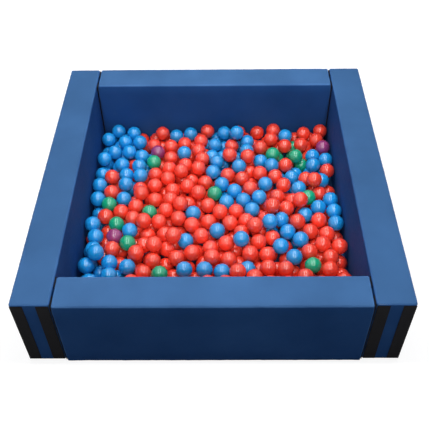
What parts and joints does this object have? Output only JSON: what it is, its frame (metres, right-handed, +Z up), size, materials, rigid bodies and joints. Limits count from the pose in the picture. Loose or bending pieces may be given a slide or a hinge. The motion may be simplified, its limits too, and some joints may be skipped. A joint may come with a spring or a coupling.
{
  "type": "ball pit",
  "caption": "Square soft-play ball pit: foam walls in zipped vinyl covers, joined by hook-and-loop strips, round a padded mat and a fill of coloured plastic balls.",
  "frame": {"origin": "centre of the underside, on the floor, in the middle of the whole pit", "axes": "+Z up, +X to the right as seen from the front, +Y from the front wall to the back wall"},
  "size_m": [1.506, 1.515, 0.38],
  "materials": {
    "blue_vinyl": "satin, fine grain, PVC-coated fabric",
    "foam": "open-cell polyurethane foam",
    "zip_tape": "woven tape with coil teeth",
    "zip_metal": "cast, nickel plated",
    "hook_and_loop": "black hook-and-loop tape",
    "red_plastic": "glossy blown polyethylene",
    "blue_plastic": "glossy blown polyethylene",
    "green_plastic": "glossy blown polyethylene",
    "purple_plastic": "glossy blown polyethylene"
  },
  "bodies": {
    "floor": {"floor_mat_cover": "blue_vinyl", "floor_mat_foam": "foam", "floor_mat_zip": "zip_tape", "mixed_balls": "red_plastic", "blue_balls_left": "blue_plastic", "blue_balls_back": "blue_plastic", "blue_balls_middle": "blue_plastic", "blue_balls_right": "blue_plastic", "blue_balls_front": "blue_plastic", "blue_balls_corner": "blue_plastic", "green_balls": "green_plastic"},
    "left_wall": {"left_wall_cover": "blue_vinyl", "left_wall_foam": "foam", "left_wall_zip": "zip_tape", "left_wall_end_strip_a_outer": "hook_and_loop", "left_wall_end_strip_a_inner": "hook_and_loop", "left_wall_end_strip_b_outer": "hook_and_loop", "left_wall_end_strip_b_inner": "hook_and_loop", "left_wall_hook_strip_front_outer": "hook_and_loop", "left_wall_hook_strip_front_inner": "hook_and_loop", "left_wall_hook_strip_back_outer": "hook_and_loop", "left_wall_hook_strip_back_inner": "hook_and_loop"},
    "right_wall": {"right_wall_cover": "blue_vinyl", "right_wall_foam": "foam", "right_wall_zip": "zip_tape", "right_wall_end_strip_a_outer": "hook_and_loop", "right_wall_end_strip_a_inner": "hook_and_loop", "right_wall_end_strip_b_outer": "hook_and_loop", "right_wall_end_strip_b_inner": "hook_and_loop", "right_wall_hook_strip_front_outer": "hook_and_loop", "right_wall_hook_strip_front_inner": "hook_and_loop", "right_wall_hook_strip_back_outer": "hook_and_loop", "right_wall_hook_strip_back_inner": "hook_and_loop"},
    "front_wall": {"front_wall_cover": "blue_vinyl", "front_wall_foam": "foam", "front_wall_zip": "zip_tape", "front_wall_loop_strip_a_outer": "hook_and_loop", "front_wall_loop_strip_a_inner": "hook_and_loop", "front_wall_loop_strip_b_outer": "hook_and_loop", "front_wall_loop_strip_b_inner": "hook_and_loop"},
    "back_wall": {"back_wall_cover": "blue_vinyl", "back_wall_foam": "foam", "back_wall_zip": "zip_tape", "back_wall_loop_strip_a_outer": "hook_and_loop", "back_wall_loop_strip_a_inner": "hook_and_loop", "back_wall_loop_strip_b_outer": "hook_and_loop", "back_wall_loop_strip_b_inner": "hook_and_loop"},
    "left_wall_slider": {"left_wall_zip_slider": "zip_metal"},
    "right_wall_slider": {"right_wall_zip_slider": "zip_metal"},
    "front_wall_slider": {"front_wall_zip_slider": "zip_metal"},
    "back_wall_slider": {"back_wall_zip_slider": "zip_metal"},
    "floor_mat_slider": {"floor_mat_zip_slider": "zip_metal"},
    "green_ball_1": {"green_ball_1": "green_plastic"},
    "green_ball_2": {"green_ball_2": "green_plastic"},
    "green_ball_3": {"green_ball_3": "green_plastic"},
    "green_ball_4": {"green_ball_4": "green_plastic"},
    "green_ball_5": {"green_ball_5": "green_plastic"},
    "green_ball_6": {"green_ball_6": "green_plastic"},
    "purple_ball_1": {"purple_ball_1": "purple_plastic"},
    "purple_ball_2": {"purple_ball_2": "purple_plastic"}
  },
  "joints": [
    {"name": "left_wall_peel", "type": "slide", "parent": "floor", "child": "left_wall", "axis": [-1, 0, 0], "range_m": [0, 0.3]},
    {"name": "right_wall_peel", "type": "slide", "parent": "floor", "child": "right_wall", "axis": [1, 0, 0], "range_m": [0, 0.3]},
    {"name": "front_wall_pull", "type": "slide", "parent": "floor", "child": "front_wall", "axis": [0, -1, 0], "range_m": [0, 0.3]},
    {"name": "back_wall_pull", "type": "slide", "parent": "floor", "child": "back_wall", "axis": [0, 1, 0], "range_m": [0, 0.3]},
    {"name": "left_wall_unzip", "type": "slide", "parent": "left_wall", "child": "left_wall_slider", "axis": [0, 1, 0], "range_m": [0, 1.338]},
    {"name": "right_wall_unzip", "type": "slide", "parent": "right_wall", "child": "right_wall_slider", "axis": [0, -1, 0], "range_m": [0, 1.338]},
    {"name": "front_wall_unzip", "type": "slide", "parent": "front_wall", "child": "front_wall_slider", "axis": [-1, 0, 0], "range_m": [0, 1.028]},
    {"name": "back_wall_unzip", "type": "slide", "parent": "back_wall", "child": "back_wall_slider", "axis": [1, 0, 0], "range_m": [0, 1.028]},
    {"name": "floor_mat_unzip", "type": "slide", "parent": "floor", "child": "floor_mat_slider", "axis": [-1, 0, 0], "range_m": [0, 1.034]},
    {"name": "green_ball_1_lift", "type": "slide", "parent": "floor", "child": "green_ball_1", "axis": [0, 0, 1], "range_m": [0, 0.3]},
    {"name": "green_ball_2_lift", "type": "slide", "parent": "floor", "child": "green_ball_2", "axis": [0, 0, 1], "range_m": [0, 0.3]},
    {"name": "green_ball_3_lift", "type": "slide", "parent": "floor", "child": "green_ball_3", "axis": [0, 0, 1], "range_m": [0, 0.3]},
    {"name": "green_ball_4_lift", "type": "slide", "parent": "floor", "child": "green_ball_4", "axis": [0, 0, 1], "range_m": [0, 0.3]},
    {"name": "green_ball_5_lift", "type": "slide", "parent": "floor", "child": "green_ball_5", "axis": [0, 0, 1], "range_m": [0, 0.3]},
    {"name": "green_ball_6_lift", "type": "slide", "parent": "floor", "child": "green_ball_6", "axis": [0, 0, 1], "range_m": [0, 0.3]},
    {"name": "purple_ball_1_lift", "type": "slide", "parent": "floor", "child": "purple_ball_1", "axis": [0, 0, 1], "range_m": [0, 0.3]},
    {"name": "purple_ball_2_lift", "type": "slide", "parent": "floor", "child": "purple_ball_2", "axis": [0, 0, 1], "range_m": [0, 0.3]}
  ]
}
